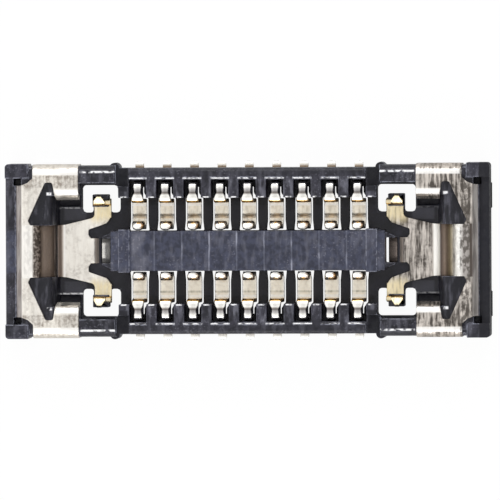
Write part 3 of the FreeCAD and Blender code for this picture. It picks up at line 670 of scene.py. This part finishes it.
# Painted highlights, shade and reflections at distances from the middle, on the tongue and on the
# strip at the outer end
LEFT_TONGUE_LIGHT_AND_SHADE = (
    (2.36, NICKEL_BRIGHT),
    (2.378, (0.55, 0.48, 0.42)),
    (2.40, (0.20, 0.155, 0.125)),
    (2.425, (0.28, 0.22, 0.19)),
    (2.447, (0.80, 0.68, 0.60)),
    (2.485, (0.16, 0.12, 0.095)),
    (2.53, (0.34, 0.27, 0.225)),
    (2.59, (0.46, 0.37, 0.31)),
    (2.635, (0.28, 0.22, 0.18)),
    (2.70, (0.30, 0.26, 0.23)),
    (2.725, (0.50, 0.46, 0.42)),
    (2.745, NICKEL_BRIGHT),
    (2.862, NICKEL_BRIGHT),
    (2.88, (0.26, 0.23, 0.215)),
    (2.96, (0.33, 0.29, 0.28)),
)
RIGHT_TONGUE_LIGHT_AND_SHADE = (
    (2.34, (0.52, 0.46, 0.41)),
    (2.36, (0.97, 0.95, 0.90)),
    (2.43, (0.98, 0.96, 0.91)),
    (2.45, (0.20, 0.155, 0.14)),
    (2.50, (0.50, 0.40, 0.33)),
    (2.535, (0.22, 0.165, 0.12)),
    (2.575, (0.32, 0.26, 0.165)),
    (2.60, (0.74, 0.66, 0.50)),
    (2.625, (0.97, 0.94, 0.86)),
    (2.70, (0.97, 0.95, 0.91)),
    (2.75, (0.42, 0.39, 0.37)),
    (2.82, (0.38, 0.35, 0.33)),
    (2.845, (0.07, 0.055, 0.045)),
    (2.87, (0.16, 0.14, 0.13)),
    (2.93, (0.31, 0.29, 0.28)),
)
# Each end's tongue, flats, their wear, the tab's foot, and how far it is streaked. The right
# fitting's darker flats, wear, foot and heavier streaks are painted shade, and the left foot is a
# painted highlight.
END_LOOKS = {
    "left": (LEFT_TONGUE_LIGHT_AND_SHADE, LEFT_FLATS, NICKEL_GREY, NICKEL_BRIGHT, 0.15),
    "right": (RIGHT_TONGUE_LIGHT_AND_SHADE, RIGHT_FLATS, NICKEL_DARK, FOOT_SHADE, 0.9),
}
# Where the sheet's parts and marks lie: outwards, sideways or upwards
TONGUE_SIDE = (0.335, 0.34)
TONGUE_START = (2.33, 2.36)
RIDGE = (2.632, 2.725, 0.012)
RIDGE_UP = (0.50, 0.56)
SPECKLED = (2.71, 2.845, 0.012)
DULL_RAMP = (2.38, 2.62, 0.02)
END_STRIP_START = (2.86, 2.875)
WRAP_START = (2.10, 2.13)
WRAP_TOP_START = (2.10, 2.14)
WRAP_TOP = (0.81, 0.965, 0.015)
WRAP_EDGE = (1.042, 1.056)
OUTER_FOLD = (0.972, 1.036, 0.01)
INNER_FOLD = (0.71, 0.79, 0.012)
INNER_FOLD_END = (2.47, 2.50)
TAB_SIDE = (0.165, 0.175)
TAB_END = (1.96, 1.975)
TAB_SLOPE_UP = (0.065, 0.1)
GILDED_END = (1.975, 2.06)
GILDED_SIDE = (0.3, 0.46)
ARM_FOLD = (0.575, 0.60, 0.008)
ARM_END = 2.1


def as_stamped(form):
    """Turns the edge between each power arm and the tab into the curve of the real stamping."""
    for vert in form.verts:
        outwards, sideways = abs(vert.co.x), abs(vert.co.y)
        petal = PETAL_CORNER - (outwards - CURVE_START) / 2
        on_edge = within(outwards, CURVE_OUTWARDS) and within(sideways, (CURVE_SIDE, petal))
        if on_edge and within(vert.co.z, CURVE_UP):
            falling = min(1, (outwards - CURVE_START) / (CURVE_LOW - CURVE_START))
            coming_back = max(0, (outwards - CURVE_LOW) / (CURVE_END - CURVE_LOW))
            drop = CURVE_DROP * falling - CURVE_RISE * coming_back
            vert.co.y *= (sideways - drop) / sideways


def sheet_round(edge):
    """The radius of an edge of the sheet: one small radius all along the curve beside each arm."""
    middle = (edge.verts[0].co + edge.verts[1].co) / 2
    beside_arm = within(abs(middle.x), ARM_EDGE_OUTWARDS)
    beside_arm = beside_arm and within(abs(middle.y), ARM_EDGE_SIDEWAYS)
    return ARM_ROUND if beside_arm else SHEET_ROUND


def plated_sheet(name, tongue_light_and_shade, flats, wear_and_light, foot, streaked):
    """Warm silver plating: grained on the flats, painted with highlights, shade and reflections
    along the folds, gilded at the arms.
    """
    finish, start = new_finish(name)
    x, y, z = start.point().axes()
    outwards, sideways = abs(x), abs(y)
    grains = start.grain(26.0, detail=4.0, seed=2.0).ramp(0.32, 0.7)
    patches = start.grain(6.0, detail=3.0, seed=9.0).ramp(0.35, 0.65)
    along = (2.4, 0.28, 0.28)
    streaks = start.grain(11.0, stretch=along, detail=4.0, seed=4.0).ramp(0.39, 0.62)
    fine = start.grain(34.0, stretch=(1, 0.2, 0.2), detail=2.0, seed=14.0).ramp(0.4, 0.7)

    # The wraps over the side walls, with painted highlights on their folds and painted shade on
    # their outer edge, and the wear of the flats
    wrap_top = sideways.band(*WRAP_TOP) * outwards.ramp(*WRAP_TOP_START) * (1 - streaked)
    # Wear over the flats, mixed with painted shade where the fitting is streaked
    wear_and_shade = 0.4 * grains * patches + streaked * (0.85 * streaks + 0.3 * fine)
    wear_and_shade = wear_and_shade + wrap_top * (0.15 + 0.3 * streaks + 0.4 * grains)
    tone = wear_and_shade.smaller(1).mixed(flats, wear_and_light)
    on_wrap = outwards.ramp(*WRAP_START)
    outer_fold = sideways.band(*OUTER_FOLD)
    inner_fold = sideways.band(*INNER_FOLD) * (1 - outwards.ramp(*INNER_FOLD_END))
    tone = (0.85 * (outer_fold + inner_fold) * on_wrap).mixed(tone, FOLD_HIGHLIGHT)
    # Painted shade on the wrap's outer edge
    tone = (0.45 * sideways.ramp(*WRAP_EDGE) * on_wrap).mixed(tone, NICKEL_GREY)

    # The tongue over the end wall, painted in bands of highlight, shade and reflection, its rough
    # ridge with dark marks that are partly a painted reflection, and the strip at the outer end
    mid_strip = 1 - sideways.ramp(*TONGUE_SIDE)
    on_tongue = mid_strip * outwards.ramp(*TONGUE_START)
    on_strip = outwards.ramp(*END_STRIP_START)
    tone = on_tongue.larger(on_strip).mixed(tone, outwards.painted(tongue_light_and_shade))
    tone = (0.22 * on_strip * streaks).mixed(tone, NICKEL_BRIGHT)
    speckles = start.grain(20.0, stretch=(1, 0.6, 1), detail=4.0, seed=12.0).ramp(0.42, 0.58)
    speckled = outwards.band(*SPECKLED) * streaked * speckles
    tone = (0.95 * speckled).mixed(tone, NICKEL_DARK)
    # Dark torn marks on the ridge: its rough bend, and partly a painted dark reflection, mostly on
    # the left fitting
    ridge = outwards.band(*RIDGE) * mid_strip * z.ramp(*RIDGE_UP)
    torn = start.grain(30.0, stretch=(1, 0.8, 1), detail=4.0, seed=6.0).ramp(0.38, 0.56)
    rough_dark_ridge = ridge * torn
    tone = (rough_dark_ridge * (1 - 0.9 * streaked)).mixed(tone, DARK_RIDGE)

    # The solder tab at the island's end, with a painted reflection on its slope and painted light
    # on its foot, and the gilded power arms beside it
    tab = (1 - outwards.ramp(*TAB_END)) * (1 - sideways.ramp(*TAB_SIDE))
    sloped = z.ramp(*TAB_SLOPE_UP)
    tone = (tab * (1 - 0.15 * fine)).mixed(tone, sloped.mixed(foot, SLOPE_REFLECTION))
    gilded = (1 - outwards.ramp(*GILDED_END)) * sideways.ramp(*GILDED_SIDE)
    tone = (gilded * (1 - 0.35 * fine)).mixed(tone, GILT)
    # Painted shadow along the fold under each power arm's tip
    arm_fold = (outwards < ARM_END) * sideways.band(*ARM_FOLD)
    tone = (0.9 * arm_fold).mixed(tone, GILT_SHADE)
    dulled = 0.12 * grains + 0.1 * streaks + 0.2 * outwards.band(*DULL_RAMP)
    surface(start, {
        "Base Color": tone,
        "Metallic": 1 - 0.6 * tab * sloped,
        "Roughness": (0.3 + dulled) * (1 - 0.6 * tab),
        "Normal": ((grains + streaks + 0.5 * fine + 2 * rough_dark_ridge) * (1 - tab)).bumped(0.28, 0.004),
    })
    return finish


for side, looks in END_LOOKS.items():
    node = "end_fitting_" + side
    finish = plated_sheet("plated_sheet_" + side, *looks)
    fitting_form = rounded_copy(node, sheet_round, SHEET_SHARP, edge_finish=-1, reshape=as_stamped)
    name = "folded_sheet_" + side
    fitting = piece_from_form(name, fitting_form, [finish], node)
    smooth_faces(fitting, SHADED_SMOOTH)

# The floor is a pale sheet, which lies a hundredth of a millimetre under the part. It
# shows white to the camera, and still takes a soft shadow.

FLOOR_WHITE = 0.95
FLOOR_PAINT = (0.9, 0.9, 0.9, 1)
FLOOR_HALF = 0.3
FLOOR_GAP = 0.01

pale_floor, start = new_finish("pale_floor")
camera_ray = start.node("ShaderNodeLightPath", {}, {})[0]
glow = start.node("ShaderNodeEmission", {}, {"Color": (1, 1, 1, 1), "Strength": 1.0})[0]
paint = start.node("ShaderNodeBsdfDiffuse", {}, {"Color": FLOOR_PAINT})[0]
shown = start.node("ShaderNodeMixShader", {}, {0: FLOOR_WHITE * camera_ray, 1: paint, 2: glow})[0]
start.node("ShaderNodeOutputMaterial", {}, {"Surface": shown})

floor_form = bmesh.new()
bmesh.ops.create_grid(floor_form, x_segments=1, y_segments=1, size=FLOOR_HALF)
floor_mesh = bpy.data.meshes.new("floor")
floor_form.to_mesh(floor_mesh)
floor_form.free()
floor = bpy.data.objects.new("floor", floor_mesh)
floor.location.z = -FLOOR_GAP * MM
floor_mesh.materials.append(pale_floor)
bpy.context.scene.collection.objects.link(floor)

# The light is a ring of soft lamps: dimmer straight above, where the lens looks through it,
# and strongest from both long sides, so that folds and rounded edges carry bright lines.

RING = 1.1
SIDE_LAMPS = 2.8
# Heights and directions in the sky, as parts of a vector of length 1
OVERHEAD = (0.93, 0.985)
HORIZON = (0.0, 0.35)
DIMMED_EAST = (0.3, 0.8)
LAMPS_UP = (0.28, 0.60, 0.08)
LAMPS_NORTH = (0.66, 0.80)

world = bpy.data.worlds.new("studio")
bpy.context.scene.world = world
world.use_nodes = True
world.node_tree.nodes.clear()
start = Shade(world.node_tree)
east, north, up = start.node("ShaderNodeTexCoord", {}, {})[0].axes()
lamps = up.band(*LAMPS_UP) * abs(north).ramp(*LAMPS_NORTH)
ring = RING * (1 - 0.3 * up.ramp(*OVERHEAD)) * (0.5 + 0.5 * up.ramp(*HORIZON))
sky = ring * (1 - 0.45 * east.ramp(*DIMMED_EAST)) + SIDE_LAMPS * lamps
camera_ray = start.node("ShaderNodeLightPath", {}, {})[0]
studio = start.node("ShaderNodeBackground", {}, {"Color": (1, 1, 1, 1), "Strength": sky})[0]
white = start.node("ShaderNodeBackground", {}, {"Color": (1, 1, 1, 1), "Strength": 1.0})[0]
shown = start.node("ShaderNodeMixShader", {}, {0: camera_ray, 1: studio, 2: white})[0]
start.node("ShaderNodeOutputWorld", {}, {"Surface": shown})

# The camera looks almost straight down through a long lens, a little from the right, as a
# camera on an inspection microscope does. It is aimed at the top of the island.

LENS = 1000
VIEW_WIDTH = 6.357
LEAN_RIGHT = radians(3.6)
LEAN_BACK = radians(1.0)
TURN = radians(0.20)
AIM = Vector((0.033, 0.009, 0.5))

camera_data = bpy.data.cameras.new("camera")
camera_data.lens = LENS
camera_data.clip_start = 0.01
camera_data.clip_end = 10
camera = bpy.data.objects.new("camera", camera_data)
back = Vector((tan(LEAN_RIGHT), tan(LEAN_BACK), 1)).normalized()
distance = VIEW_WIDTH * LENS / camera_data.sensor_width
camera.location = (AIM + back * distance) * MM
right = Vector((cos(TURN), -sin(TURN), 0))
upward = back.cross(right).normalized()
right = upward.cross(back)
camera.rotation_mode = "QUATERNION"
axes = [[right[k], upward[k], back[k]] for k in range(3)]
camera.rotation_quaternion = Matrix(axes).to_quaternion()
bpy.context.scene.collection.objects.link(camera)
bpy.context.scene.camera = camera
bpy.context.scene.view_settings.view_transform = "Standard"
